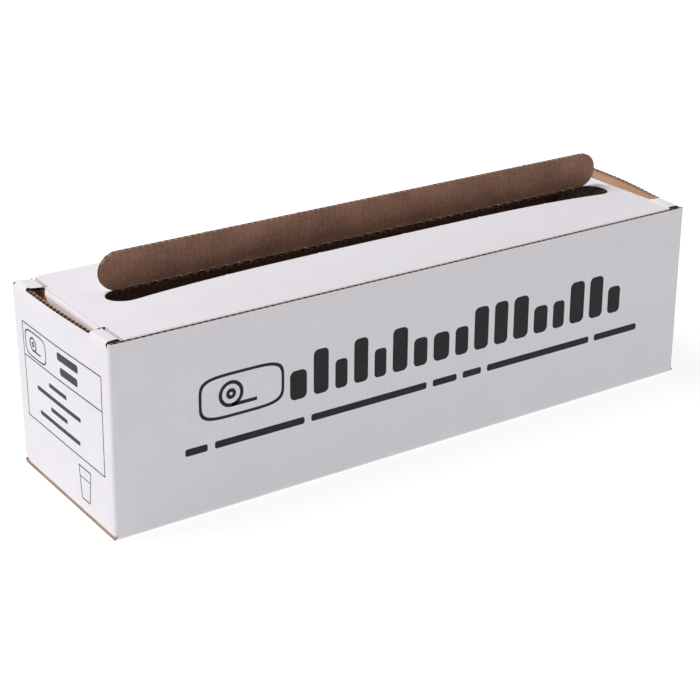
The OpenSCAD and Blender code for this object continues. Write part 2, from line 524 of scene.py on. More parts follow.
@dataclass
class MeshParts:
    """Points and faces gathered for one mesh, with each point's place on the flat blank."""

    points: list[Array] = field(default_factory=list)
    blank: list[Array] = field(default_factory=list)
    wear: list[Array] = field(default_factory=list)
    faces: list[tuple[int, ...]] = field(default_factory=list)
    layers: list[int] = field(default_factory=list)
    count: int = 0

    def add(
        self,
        points: Array,
        faces: Iterable[Sequence[int]],
        layer: int | Sequence[int],
        blank: Array | None = None,
        wear: Array | None = None,
    ) -> None:
        """Adds points and faces.

        Args:
            points: the points, one row each.
            faces: the faces, by the rows of points.
            layer: one material number, or one for each face.
            blank: each point's place on the flat blank, if it isn't its own place.
            wear: how sharply the board is folded at each point, from 0 to 1.
        """
        made = [tuple(int(i) + self.count for i in face) for face in faces]
        self.faces += made
        self.layers += [layer] * len(made) if isinstance(layer, int) else list(layer)
        self.points.append(points)
        self.blank.append(points if blank is None else blank)
        self.wear.append(np.zeros(len(points)) if wear is None else wear)
        self.count += len(points)

    def make(
        self, name: str, materials: Sequence[bpy.types.Material], sharp: float = 0.6,
    ) -> bpy.types.Object:
        """Makes the object.

        Args:
            name: the piece's name.
            materials: one for each material number.
            sharp: the angle between faces, in radians, above which an edge is sharp.

        Returns:
            The object, at the origin.
        """
        mesh = bpy.data.meshes.new(name)
        mesh.from_pydata(np.vstack(self.points).tolist(), [], self.faces)
        for material in materials:
            mesh.materials.append(material)
        mesh.polygons.foreach_set("material_index", self.layers)
        flat = mesh.attributes.new("blank", "FLOAT_VECTOR", "POINT")
        flat.data.foreach_set("vector", np.vstack(self.blank).astype(np.float32).ravel())
        wear = mesh.attributes.new("fold_wear", "FLOAT", "POINT")
        wear.data.foreach_set("value", np.concatenate(self.wear).astype(np.float32))
        tidy = bmesh.new()
        tidy.from_mesh(mesh)
        bmesh.ops.recalc_face_normals(tidy, faces=tidy.faces)
        for face in tidy.faces:
            face.smooth = True
        for edge in tidy.edges:
            edge.smooth = len(edge.link_faces) == 2 and edge.calc_face_angle(0.0) < sharp
        tidy.to_mesh(mesh)
        tidy.free()
        made = bpy.data.objects.new(name, mesh)
        bpy.context.scene.collection.objects.link(made)
        return made


@dataclass
class Fold:
    """Section of folded board: straight runs and rounded corners of its white side, brown on the left."""

    corners: Sequence[Point]
    radii: Sequence[float]
    steps: int = 6
    runs: list[tuple[float, float, Array, Array, float]] = field(init=False, default_factory=list)
    length: float = field(init=False, default=0.0)

    def __post_init__(self) -> None:
        """Works out the runs: start, length, first point, heading and turn for each unit of length."""
        points = [np.array(corner, float) for corner in self.corners]
        start = points[0]
        for i in range(1, len(points)):
            heading = (points[i] - points[i - 1]) / np.linalg.norm(points[i] - points[i - 1])
            if i == len(points) - 1:
                self._run(start, heading, float(np.linalg.norm(points[i] - start)), 0.0)
                break
            after = (points[i + 1] - points[i]) / np.linalg.norm(points[i + 1] - points[i])
            turn = math.atan2(heading[0] * after[1] - heading[1] * after[0], float(heading @ after))
            radius = self.radii[i - 1]
            cut = radius * math.tan(abs(turn) / 2)
            self._run(start, heading, float(np.linalg.norm(points[i] - heading * cut - start)), 0.0)
            self._run(points[i] - heading * cut, heading, radius * abs(turn), math.copysign(1 / radius, turn))
            start = points[i] + after * cut

    def _run(self, start: Array, heading: Array, length: float, turn: float) -> None:
        """Adds one run."""
        self.runs.append((self.length, length, start, heading, turn))
        self.length += length

    def at(self, s: Array) -> tuple[Array, Array, Array]:
        """Where the white surface is.

        Args:
            s: lengths along the section.

        Returns:
            The points, the directions to the brown side, and 1 in the folds and 0 elsewhere.
        """
        place, left, bend = np.zeros((len(s), 2)), np.zeros((len(s), 2)), np.zeros(len(s))
        for i, (first, length, start, heading, turn) in enumerate(self.runs):
            low = first if i else -BEYOND
            high = first + length if i < len(self.runs) - 1 else BEYOND
            here = (s >= low) & (s <= high)
            ds = s[here] - first
            side = np.array([-heading[1], heading[0]])
            if turn:
                ahead, aside = np.sin(turn * ds) / turn, (1 - np.cos(turn * ds)) / turn
                c, n = np.cos(turn * ds), np.sin(turn * ds)
                left[here] = side * c[:, None] - heading * n[:, None]
                bend[here] = np.sin(np.clip(ds / length, 0, 1) * math.pi) ** 0.5
            else:
                ahead, aside = ds, 0 * ds
                left[here] = side
            place[here] = start + heading * ahead[:, None] + side * aside[:, None]
        return place, left, bend

    def lines(self) -> list[float]:
        """Lengths at which the mesh needs a line, so that the folds are round.

        Returns:
            The lengths, run by run.
        """
        found = []
        for first, length, _, _, turn in self.runs:
            steps = self.steps if turn else 1
            found += [first + length * k / steps for k in range(steps + 1)]
        return found

    def start_of(self, run: int) -> float:
        """Length at which a run starts."""
        return self.runs[run][0]


def inside(points: Array, loops: Sequence[Array]) -> Array:
    """Which points lie inside the first loop and outside the others, by the even-odd rule.

    Args:
        points: the points, one row each.
        loops: the closed loops.

    Returns:
        True for each point inside.
    """
    odd = np.zeros(len(points), bool)
    for loop in loops:
        a, b = loop, np.roll(loop, -1, axis=0)
        for p, q in zip(a, b):
            crosses = (p[1] > points[:, 1]) != (q[1] > points[:, 1])
            if crosses.any():
                x = p[0] + (points[:, 1] - p[1]) / (q[1] - p[1] + 1e-30) * (q[0] - p[0])
                odd ^= crosses & (points[:, 0] < x)
    return odd


@dataclass
class Blank:
    """One cut of board, drawn flat as (across, along) the flutes, and folded into place."""

    outline: Sequence[Point]
    place: Placer
    holes: Sequence[Sequence[Point]] = ()
    across_lines: Sequence[float] = ()
    along_lines: Sequence[float] = ()
    grid: float = 6 * MM
    edge_inset: float = 0.12 * MM
    crushed: Layer | None = None
    white_holes: Sequence[Sequence[Point]] | None = None

    def _grid_lines(self, axis: int, fixed: Sequence[float]) -> Array:
        """Lines of the mesh on one axis: the fixed ones, with even ones between.

        Args:
            axis: 0 across the flutes, 1 along them.
            fixed: lines that the folds need.

        Returns:
            The lines, in order.
        """
        values = [p[axis] for p in self.outline]
        low, high = min(values), max(values)
        stops = sorted({low, high, *[x for x in fixed if low < x < high]})
        lines: list[float] = []
        for a, b in zip(stops, stops[1:]):
            steps = max(1, round((b - a) / self.grid))
            lines += [a + (b - a) * k / steps for k in range(steps)]
        return np.array([*lines, stops[-1]])

    def _split(self, loop: Sequence[Point], us: Array, vs: Array) -> Array:
        """A loop with a point added wherever a grid line crosses it.

        Args:
            loop: the loop's corners.
            us: grid lines across the flutes.
            vs: grid lines along them.

        Returns:
            The loop's points, in order.
        """
        points: list[Array] = []
        for p, q in zip(loop, [*loop[1:], loop[0]]):
            a, b = np.array(p, float), np.array(q, float)
            cuts = {0.0}
            for axis, lines in ((0, us), (1, vs)):
                if abs(b[axis] - a[axis]) > 1e-9:
                    t = (lines - a[axis]) / (b[axis] - a[axis])
                    cuts |= set(t[(t > 1e-4) & (t < 1 - 1e-4)].tolist())
            points += [a + (b - a) * t for t in sorted(cuts)]
        kept = [p for p, q in zip(points, [*points[1:], points[0]]) if np.linalg.norm(p - q) > 1e-6]
        return np.array(kept)

    def cells(self, holes: Sequence[Sequence[Point]]) -> tuple[Array, list[tuple[int, int, int]]]:
        """Triangles of the flat cut.

        Args:
            holes: the holes in this layer.

        Returns:
            Its points, and its triangles by their rows.
        """
        us, vs = self._grid_lines(0, self.across_lines), self._grid_lines(1, self.along_lines)
        loops = [self._split(loop, us, vs) for loop in (self.outline, *holes)]
        inner = np.stack(np.meshgrid(us, vs, indexing="ij"), -1).reshape(-1, 2)
        inner = inner[inside(inner, loops)]
        for loop in loops:
            for p, q in zip(loop, np.roll(loop, -1, axis=0)):
                d = q - p
                t = np.clip((inner - p) @ d / (d @ d), 0, 1)
                inner = inner[np.linalg.norm(inner - p - t[:, None] * d, axis=1) > self.edge_inset]
        edges, count = [], 0
        for loop in loops:
            edges += [(count + i, count + (i + 1) % len(loop)) for i in range(len(loop))]
            count += len(loop)
        flat = [Vector(p) for loop in loops for p in loop.tolist()] + [Vector(p) for p in inner.tolist()]
        points, _, faces, *_ = delaunay_2d_cdt(flat, edges, [], 0, 1e-8)
        made = np.array([tuple(p) for p in points])
        centres = np.array([made[list(face)].mean(axis=0) for face in faces])
        kept = inside(centres, loops)
        return made, [tuple(face) for face, keep in zip(faces, kept) if keep]

    def spans(self, across: float) -> list[Point]:
        """Stretches of the cut along one line that runs with the flutes.

        Args:
            across: where the line lies, across the flutes.

        Returns:
            The start and end of each stretch.
        """
        hits: list[float] = []
        for loop in (self.outline, *self.holes):
            for p, q in zip(loop, [*loop[1:], loop[0]]):
                if (p[0] > across) != (q[0] > across):
                    hits.append(p[1] + (across - p[0]) / (q[0] - p[0]) * (q[1] - p[1]))
        hits.sort()
        return list(zip(hits[::2], hits[1::2]))

    def _put(self, parts: MeshParts, flat: Array, rise: Array, faces: list, layers: int | list[int]) -> None:
        """Adds points of the blank at a rise above its brown side, folded into place."""
        points, wear = self.place(flat[:, 0], flat[:, 1], BOARD - rise)
        parts.add(points, faces, layers, np.column_stack([flat, rise]), wear)

    def liner(
        self, parts: MeshParts, low: float, high: float, bottom: Layer, top: Layer, rim_layer: Layer,
    ) -> None:
        """Adds a liner between two rises above the brown side, with its cut edge all round.

        Args:
            parts: the mesh to add to.
            low: rise of its lower face.
            high: rise of its upper face.
            bottom: material of its lower face.
            top: material of its upper face.
            rim_layer: material of its cut edge; PULP marks the white liner.
        """
        top_side = rim_layer is Layer.PULP
        flat, cells = self.cells(self.white_holes if top_side and self.white_holes else self.holes)
        n = len(flat)
        sides = {}
        for face in cells:
            for a, b in zip(face, (*face[1:], face[0])):
                sides[(a, b)] = True
        rim = [(a, b) for a, b in sides if (b, a) not in sides]
        faces = list(cells)
        faces += [tuple(i + n for i in reversed(face)) for face in cells]
        faces += [(a, a + n, b + n, b) for a, b in rim]
        layers = [top.value] * len(cells) + [bottom.value] * len(cells) + [rim_layer.value] * len(rim)
        rise = np.concatenate([np.full(n, high), np.full(n, low)])
        self._put(parts, np.vstack([flat, flat]), rise, faces, layers)
        if top_side and self.crushed:
            self._crushed_sides(parts, flat, [e for e in rim if abs(flat[e[0], 0] - flat[e[1], 0]) < 1e-6])

    def _crushed_sides(self, parts: MeshParts, flat: Array, rim: list[tuple[int, int]]) -> None:
        """Closes the edges that were cut along a flute, where the liners are crushed together.

        Args:
            parts: the mesh to add to.
            flat: the liner's points, drawn flat.
            rim: the edges, by the rows of flat.
        """
        if not rim:
            return
        ends = flat[np.array(rim)]
        centre = flat[:, 0].mean()
        inner = ends.copy()
        inner[:, :, 0] -= np.sign(ends[:, :, 0] - centre) * self.edge_inset * 0.9
        n = len(rim)
        a, b, c, d = ends[:, 0], ends[:, 1], inner[:, 0], inner[:, 1]
        points = np.vstack([a, b, b, a, c, d, d, c])
        low, high = LINER, BOARD - LINER
        rise = np.repeat([low, low, high, high, low, low, high, high], n)
        faces = []
        for i in range(n):
            k = [i + n * j for j in range(8)]
            faces += [(k[0], k[1], k[2], k[3]), (k[4], k[7], k[6], k[5]), (k[0], k[3], k[7], k[4])]
            faces += [(k[1], k[5], k[6], k[2]), (k[0], k[4], k[5], k[1]), (k[3], k[2], k[6], k[7])]
        self._put(parts, points, rise, faces, self.crushed.value)

    def medium(self, parts: MeshParts, steps: int = 6) -> None:
        """Adds the fluted medium: one wavy sheet between the liners, closed at its cut ends.

        Args:
            parts: the mesh to add to.
            steps: how many strips each flute has.
        """
        low, high = min(p[0] for p in self.outline), max(p[0] for p in self.outline)
        count = max(2, round((high - low - 2 * self.edge_inset) / FLUTE * steps))
        columns = np.linspace(low + self.edge_inset, high - self.edge_inset, count + 1)
        middle, swing = BOARD / 2, BOARD / 2 - LINER - MEDIUM / 2
        rises = middle + swing * np.sin(columns * 2 * math.pi / FLUTE)
        for a, b, ra, rb in zip(columns, columns[1:], rises, rises[1:]):
            for start, end in self.spans((a + b) / 2):
                start, end = start + self.edge_inset, end - self.edge_inset
                if end - start < 0.3 * MM:
                    continue
                stops = [start, *[v for v in sorted(self.along_lines) if start < v < end], end]
                n = len(stops)
                flat = np.array([(u, v) for u in (a, b, a, b) for v in stops])
                half = MEDIUM / 2
                rise = np.repeat([ra + half, rb + half, ra - half, rb - half], n)
                faces = []
                for k in range(n - 1):
                    faces.append((k, k + 1, n + k + 1, n + k))
                    faces.append((2 * n + k, 3 * n + k, 3 * n + k + 1, 2 * n + k + 1))
                faces += [(0, n, 3 * n, 2 * n), (n - 1, 3 * n - 1, 4 * n - 1, 2 * n - 1)]
                self._put(parts, flat, rise, faces, Layer.MEDIUM.value)

    def board(self, parts: MeshParts | None = None) -> MeshParts:
        """Adds both liners and the medium.

        Args:
            parts: the mesh to add to, or None for a new one.

        Returns:
            The mesh, with the board added.
        """
        parts = parts or MeshParts()
        self.liner(parts, 0.0, LINER, Layer.KRAFT, Layer.MEDIUM, Layer.BROWN_PULP)
        self.liner(parts, BOARD - LINER, BOARD, Layer.MEDIUM, Layer.WHITE, Layer.PULP)
        self.medium(parts)
        return parts


def report(piece: bpy.types.Object, *bodies: Body) -> None:
    """Reports a finished piece and the bodies that it follows."""
    followed = " and ".join(body.value for body in bodies)
    log.info("%s follows %s, %d faces", piece.name, followed, len(piece.data.polygons))


def attach(piece: bpy.types.Object, body: Body, slot: Slot, *nodes: str) -> bpy.types.Object:
    """Lets a piece ride on a body and stand for CAD nodes.

    Args:
        piece: the piece.
        body: the body that it rides on.
        slot: its material slot; not used.
        nodes: the CAD nodes that it stands for.

    Returns:
        The piece.
    """
    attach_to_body(piece, body.value)
    if nodes:
        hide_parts(*nodes)
    report(piece, body)
    return piece


# ---------------------------------------------------------------- carton


@dataclass
class CartonWrap:
    """Front, bottom and back in one run of board, with the dust flaps that fold in from the back."""

    finishes: Finishes
    fold_radius: float = 2.0 * MM
    crease_drop: float = 2.6 * MM
    end_lift: float = 1.8 * MM
    flap_taper: float = 10 * MM

    def __post_init__(self) -> None:
        """Works out the section and the levels."""
        r = self.fold_radius
        corners = [(-HALF_W, TOP), (-HALF_W, 0.0), (HALF_W, 0.0), (HALF_W, TOP - self.crease_drop)]
        self.fold = Fold(corners, [r, r])
        self.front_half = HALF_L - r
        self.back_half = -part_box("left_dust_flap")[0].x
        self.turn_from = self.back_half - r
        self.flap_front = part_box("left_dust_flap")[0].y
        self.flap_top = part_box("left_dust_flap")[1].z

    def place(self, u: Array, v: Array, depth: Array) -> tuple[Array, Array]:
        """Folds the blank: round the bottom, and round the back corners into the dust flaps.

        Args:
            u: places across the flutes.
            v: places along the flutes.
            depth: depths below the white face.

        Returns:
            The points in the part's frame, and how sharply the board is folded at each.
        """
        r = self.fold_radius
        p, left, wear = self.fold.at(v)
        y, z, x = p[:, 0] + left[:, 0] * depth, p[:, 1] + left[:, 1] * depth, u.copy()
        over = np.abs(u) - self.turn_from
        back = (over > 0) & (v > self.fold.start_of(4) - 1e-9)
        angle = np.clip(over / r, 0, QUARTER)
        rest = np.clip(over - r * QUARTER, 0, None)
        x = np.where(back, np.sign(u) * (self.turn_from + (r - depth) * np.sin(angle)), x)
        y = np.where(back, HALF_W - r + (r - depth) * np.cos(angle) - rest, y)
        wear = np.where(back & (rest <= 0), np.sin(2 * angle), wear)
        return np.column_stack([x, y, z]), wear

    def _outline(self) -> list[Point]:
        """Outline of the blank on the right, mirrored to the left.

        Returns:
            The corners, drawn flat.
        """
        back0 = self.fold.start_of(4)
        low = back0 + self.end_lift - self.fold_radius
        reach = self.turn_from + self.fold_radius * QUARTER + (HALF_W - self.fold_radius - self.flap_front)
        top = self.flap_top - self.fold_radius + back0
        turn_end = self.turn_from + self.fold_radius * QUARTER
        right = [
            (self.front_half, 0.0),
            (self.front_half, TOP - self.end_lift - 0.1 * MM),
            (HALF_L, TOP - self.end_lift),
            (HALF_L, low),
            (self.turn_from, low + 0.15 * MM),
            (turn_end, low + 1.0 * MM),
            (reach, low + self.flap_taper),
            (reach, top - self.flap_taper),
            (turn_end, top),
            (self.turn_from + 0.4 * MM, top + 0.6 * MM),
            (self.turn_from, self.fold.length),
        ]
        return right + [(-u, v) for u, v in reversed(right)]

    def build(self) -> None:
        """Makes the piece."""
        r = self.fold_radius
        turns = [self.turn_from + r * QUARTER * k / 6 for k in range(7)]
        blank = Blank(
            self._outline(), self.place,
            across_lines=[*turns, *[-t for t in turns], self.front_half, -self.front_half],
            along_lines=self.fold.lines(), grid=8 * MM, crushed=Layer.KRAFT,
        )
        made = blank.board().make("carton_wrap", self.finishes.wrap_board())
        attach(
            made, Body.CARTON, Slot.WHITE,
            "front_panel", "bottom_panel", "back_panel", "left_dust_flap", "right_dust_flap",
        )


@dataclass
class EndWall:
    """Hollow end wall: outer panel from the front's crease, bridges over the top, and the inner panel."""

    finishes: Finishes
    side: int
    flare: float
    lift: float
    inner_edge: float
    radius: float = 1.8 * MM
    corner_radius: float = 2.0 * MM
    back_round: float = 2.5 * MM
    low_round: float = 6 * MM
    slit: float = 0.22 * MM
    raw_drop: float = 0.25 * MM
    peel: float = 0.55 * MM
    flare_reach: float = 0.62
    flare_power: float = 1.6
    lift_power: int = 3

    def __post_init__(self) -> None:
        """Works out the section and the slot."""
        name = "left" if self.side < 0 else "right"
        self.name = name
        outer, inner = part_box(f"{name}_end_panel"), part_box(f"{name}_inner_panel")
        front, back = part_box(f"{name}_front_bridge"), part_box(f"{name}_back_bridge")
        self.low = outer[0].z
        self.inner_a = min(abs(inner[0].x), abs(inner[1].x))
        self.fold = Fold(
            [(HALF_L, self.low), (HALF_L, TOP), (self.inner_a, TOP), (self.inner_a, inner[0].z)],
            [self.radius, self.radius],
        )
        self.slot_front, self.slot_back = front[1].y, back[0].y
        self.inner_front = max(inner[0].y, self.corner_radius - HALF_W + self.slit)
        self.inner_back = inner[1].y
        self.bridge_back = back[1].y

    def place(self, u: Array, v: Array, depth: Array) -> tuple[Array, Array]:
        """Folds the blank over the top, and round the front corner.

        Args:
            u: places across the flutes.
            v: places along the flutes.
            depth: depths below the white face.

        Returns:
            The points in the part's frame, and how sharply the board is folded at each.
        """
        r = self.corner_radius
        p, left, wear = self.fold.at(v)
        a, z, y = p[:, 0] + left[:, 0] * depth, p[:, 1] + left[:, 1] * depth, u.copy()
        start = -HALF_W + r
        angle = np.clip((start - u) / r, 0, QUARTER)
        wrap = u < start
        s1, s2, s3 = self.fold.start_of(1), self.fold.start_of(2), self.fold.start_of(3)
        for near, back, flat_a, flat_z in (
            ((v > s1) & (v < s2), self.slot_back + 2.9 * MM, HALF_L - depth, self.low + v),
            ((v > s2) & (v < s3), self.slot_back, self.inner_a + depth, TOP - self.radius + s3 - v),
        ):
            open_here = smooth((u - self.slot_front) / MM) * smooth((back - u) / MM)
            a = np.where(near, a + (flat_a - a) * open_here, a)
            z = np.where(near, z + (flat_z - z) * open_here, z)
        a = np.where(wrap, HALF_L - r + (r - depth) * np.cos(angle), a)
        y = np.where(wrap, start - (r - depth) * np.sin(angle), y)
        z = np.where(wrap, self.low + v, z)
        wear = np.where(wrap, np.sin(2 * angle), wear)
        fade = 1 - smooth((v - self.fold.start_of(1)) / (self.fold.start_of(3) - self.fold.start_of(1)))
        along = np.clip((y + HALF_W) / (2 * HALF_W), 0, 1)
        bulge = smooth(along / self.flare_reach) * np.clip(z / TOP, 0, 1.1) ** self.flare_power
        a = a + self.flare * bulge * fade
        z = z + self.lift * smooth(along) * np.clip(z / TOP, 0, 1) ** self.lift_power * fade
        return np.column_stack([self.side * a, y, z]), wear

    def _outline(self) -> list[Point]:
        """Outline of the whole wall, drawn flat.

        Returns:
            The corners.
        """
        s1, s2, s3 = (self.fold.start_of(k) for k in (1, 2, 3))
        end = self.fold.length
        seam = -HALF_W + self.corner_radius * (1 - QUARTER)
        tip = s1 + self.radius * 1.1
        corner = -HALF_W + self.corner_radius
        curve = [
            (HALF_W - self.low_round * (1 - math.sin(t)), self.low_round * (1 - math.cos(t)))
            for t in np.linspace(0, QUARTER, 7)
        ]
        back = [
            (HALF_W - self.back_round * (1 - math.cos(t)), tip - self.back_round * (1 - math.sin(t)))
            for t in np.linspace(0, QUARTER, 6)
        ]
        return [
            (seam, 0.0),
            *curve,
            *back,
            (self.bridge_back + 0.3 * MM, tip),
            (self.bridge_back, s2),
            (self.bridge_back - 3 * MM, s3),
            (self.inner_back, s3 + 1 * MM),
            (self.inner_back, end),
            (self.inner_front, end),
            (self.inner_front, s3 + 4.5 * MM),
            (self.inner_front + 2.3 * MM, s3 + 3 * MM),
            (self.inner_front + 2.3 * MM, (s2 + s3) / 2),
            (corner + 2.2 * MM, s2),
            (corner + 1.7 * MM, s1 + 0.5 * self.radius),
            (corner - 0.1 * MM, s1 - 0.3 * MM),
            (corner - 0.35 * MM, TOP - self.low),
            (seam, TOP - self.low),
        ]

    def _slot(self, peel: float = 0.0) -> list[Point]:
        """Hole over the hollow, between the cut edges of the two panels.

        Args:
            peel: how much more of the outer panel is cut away.

        Returns:
            The hole's outline, drawn flat.
        """
        outer = self.fold.start_of(1) + self.radius - self.raw_drop - peel
        inner = self.fold.start_of(3) - self.radius + TOP - self.inner_edge
        back = self.slot_back
        return [
            (self.slot_front, outer), (self.slot_front, inner),
            (back, inner), (back + 1.2 * MM, (outer + inner) / 2), (back + 2.9 * MM, outer),
        ]

    def build(self) -> None:
        """Makes the piece."""
        r = self.corner_radius
        corner = [-HALF_W + r - r * QUARTER * k / 6 for k in range(7)]
        blank = Blank(
            self._outline(), self.place, holes=[self._slot()], white_holes=[self._slot(self.peel)],
            across_lines=corner, along_lines=[*self.fold.lines(), *np.linspace(0, TOP - 8 * MM, 15)],
            grid=6 * MM,
        )
        made = blank.board().make(f"{self.name}_end_wall", self.finishes.end_board())
        nodes = [f"{self.name}_{n}" for n in ("end_panel", "front_bridge", "back_bridge", "inner_panel")]
        attach(made, Body.CARTON, Slot.WHITE, *nodes)


# ---------------------------------------------------------------- lid


@dataclass
class Lid:
    """Lid with the film slot and its fixed left ear, its creases, the right ear and the tuck flap."""

    finishes: Finishes
    bow: float = 3.9 * MM
    bow_reach: float = 151 * MM
    bow_fullness: float = 3.6
    nick_shape: tuple[Point, ...] = ((1.1, 0.0), (0.4, 1.0), (-0.4, 0.8), (-1.2, 0.0))
    arc_points: int = 15
    tuck_slant: float = math.radians(10)
    ear_radius: float = 2.6 * MM
    crease_radius: float = 2.0 * MM
    nick: float = 0.6 * MM
    nicks: tuple[float, ...] = (-0.084, -0.035, 0.013, 0.058, 0.100)

    def __post_init__(self) -> None:
        """Works out the lid's edges from the frame."""
        lid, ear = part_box("lid_panel"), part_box("left_lid_ear")
        self.half = lid[1].x
        self.front, self.back = lid[0].y, lid[1].y
        self.ear_out = -lid[0].x
        self.ear_front, self.ear_back, self.ear_low = ear[0].y, ear[1].y, ear[0].z
        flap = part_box("dispensing_flap")
        self.hinge_y = flap[1].y
        self.slot_left, self.slot_right = flap[0].x - 0.3 * MM, flap[1].x + 0.3 * MM
        self.slot_half = (flap[1].z - TOP + 0.3 * MM) / 2
        self.tuck_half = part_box("front_tuck_flap")[1].x

    def rise(self, x: Array, y: Array) -> Array:
        """How far the lid bows up, most at the slot's front edge.

        Args:
            x: places along the carton.
            y: places across it.

        Returns:
            The rise at each place.
        """
        edge = self.hinge_y - 2 * self.slot_half
        ahead = np.clip(
            (y - self.front - self.crease_radius) / (edge - self.front - self.crease_radius), 0, 1,
        )
        behind = np.clip((self.hinge_y - y) / (self.hinge_y - edge), 0, 1)
        along = np.clip(1 - np.abs(x / self.bow_reach) ** self.bow_fullness, 0, 1)
        return self.bow * along * np.where(y < edge, np.sin(ahead * QUARTER), smooth(behind))

    def place(self, u: Array, v: Array, depth: Array) -> tuple[Array, Array]:
        """Lays the lid flat with its bow, and folds the left ear down.

        Args:
            u: places across the flutes.
            v: places along the flutes.
            depth: depths below the white face.

        Returns:
            The points in the part's frame, and how sharply the board is folded at each.
        """
        r = self.ear_radius
        over = -(self.ear_out - r) - u
        angle = np.clip(over / r, 0, QUARTER)
        rest = np.clip(over - r * QUARTER, 0, None)
        ear = over > 0
        x = np.where(ear, -(self.ear_out - r + (r - depth) * np.sin(angle)), u)
        z = np.where(ear, TOP - r + (r - depth) * np.cos(angle) - rest, TOP - depth)
        z = z + np.where(ear, 0, self.rise(u, v))
        wear = np.where(ear & (rest <= 0), np.sin(2 * angle) * 0.5, 0)
        return np.column_stack([x, v, z]), wear

    def _outline(self) -> list[Point]:
        """Outline of the lid with the left ear, drawn flat.

        Returns:
            The corners.
        """
        r = self.crease_radius
        front, back = self.front + r, self.back - r
        fold = -(self.ear_out - self.ear_radius)
        drop = fold - self.ear_radius * QUARTER - (TOP - self.ear_radius - self.ear_low)
        return [
            (-self.tuck_half, front), (self.tuck_half, front),
            (self.tuck_half, self.front + 0.1 * MM), (self.half, self.front + 0.1 * MM),
            (self.half, self.ear_front), (self.half - r, self.ear_front + 0.2 * MM),
            (self.half - r, self.ear_back - 0.2 * MM), (self.half, self.ear_back),
            (self.half, self.back - 3 * MM), (self.half - 2.2 * MM, back),
            (-self.half + 2.2 * MM, back), (-self.half, self.back - 3 * MM),
            (-self.half, self.ear_back), (fold, self.ear_back),
            (drop + 1 * MM, self.ear_back - 15 * MM), (drop, self.ear_back - 17 * MM),
            (drop, self.ear_front + 8 * MM), (drop + 1 * MM, self.ear_front + 6.5 * MM),
            (fold, self.ear_front), (-self.half, self.ear_front),
            (-self.half, self.front + 0.1 * MM), (-self.tuck_half, self.front + 0.1 * MM),
        ]

    def slot_loop(self, inset: float = 0.0, nick: float = 0.0) -> list[Point]:
        """Stadium of the film slot as (x, distance from the hinge), nicked along its free side.

        Args:
            inset: how far inside the slot's edge the loop runs.
            nick: how far each nick reaches into the slot, or out of it if negative.

        Returns:
            The loop's points.
        """
        r = self.slot_half
        left, right = self.slot_left + r, self.slot_right - r
        loop = [
            (middle + (r - inset) * math.cos(t), r + (r - inset) * math.sin(t))
            for middle, first, last in ((left, QUARTER, 3 * QUARTER), (right, -QUARTER, QUARTER))
            for t in np.linspace(first, last, self.arc_points)
        ]
        far = 2 * r - inset
        for x in sorted(self.nicks, reverse=True):
            loop += [(x + along * nick, far - across * nick) for along, across in self.nick_shape]
        return loop

    def build_panel(self) -> None:
        """Makes the lid with its left ear."""
        r = self.ear_radius
        turns = [-(self.ear_out - r) - r * QUARTER * k / 8 for k in range(9)]
        hole = [(x, self.hinge_y - v) for x, v in self.slot_loop(nick=self.nick)]
        blank = Blank(
            self._outline(), self.place, holes=[hole], across_lines=turns, crushed=Layer.WHITE,
            along_lines=np.linspace(
                self.front + self.crease_radius, self.back - self.crease_radius, 15,
            ).tolist(),
        )
        attach(
            blank.board().make("lid_board", self.finishes.board()), Body.LID, Slot.WHITE,
            "lid_panel", "left_lid_ear",
        )

    def _creased(self, name: str, fold: Fold, half: tuple[float, float]) -> bpy.types.Object:
        """A narrow folded strip of board across X, its section in Y and Z.

        Args:
            name: the piece's name.
            fold: its section.
            half: where it starts and ends along X.

        Returns:
            The piece.
        """

        def place(u: Array, v: Array, depth: Array) -> tuple[Array, Array]:
            """Folds the strip."""
            p, left, wear = fold.at(v)
            return np.column_stack([u, p[:, 0] + left[:, 0] * depth, p[:, 1] + left[:, 1] * depth]), wear

        low, high = half
        outline = [(low, 0.0), (high, 0.0), (high, fold.length), (low, fold.length)]
        blank = Blank(outline, place, along_lines=fold.lines())
        return blank.board().make(name, self.finishes.board())

    def build_back_crease(self) -> None:
        """Makes the crease on which the lid turns."""
        r = self.crease_radius
        low = TOP - CartonWrap.crease_drop
        fold = Fold([(self.back, low), (self.back, TOP), (self.back - r, TOP)], [r - 0.01 * MM], steps=8)
        half = self.half - 2.3 * MM
        piece = self._creased("lid_back_crease", fold, (-half, half))
        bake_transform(piece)
        report(piece, Body.CARTON, Body.LID)

    def build_tuck_flap(self) -> None:
        """Makes the front tuck flap and its crease."""
        r = self.crease_radius
        slant = self.tuck_slant
        start = (self.front + r, TOP)
        along = (math.sin(slant), -math.cos(slant))
        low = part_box("front_tuck_flap")[0].z + BOARD * math.sin(slant)
        centre = (start[0], TOP - r)
        foot = (centre[0] - r * math.cos(slant), centre[1] - r * math.sin(slant))
        fold = Fold([start, self._corner(start, foot, along), foot], [r - 0.01 * MM], steps=8)
        piece = self._creased("tuck_crease", fold, (-self.tuck_half, self.tuck_half))
        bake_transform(piece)
        report(piece, Body.LID, Body.TUCK_FLAP)

        length = (foot[1] - low) / math.cos(slant)
        normal = (math.cos(slant), math.sin(slant))

        def place(u: Array, v: Array, depth: Array) -> tuple[Array, Array]:
            """Lays the flap along its slant."""
            y = foot[0] + along[0] * v + normal[0] * depth
            z = foot[1] + along[1] * v + normal[1] * depth
            return np.column_stack([u, y, z]), np.zeros(len(u))

        half = self.tuck_half
        outline = [(-half, 0.0), (half, 0.0), (half - 7 * MM, length - 3 * MM), (half - 10 * MM, length),
                   (-half + 10 * MM, length), (-half + 7 * MM, length - 3 * MM)]
        flap = Blank(outline, place).board().make("tuck_flap_board", self.finishes.board())
        attach(flap, Body.TUCK_FLAP, Slot.WHITE, "front_tuck_flap")

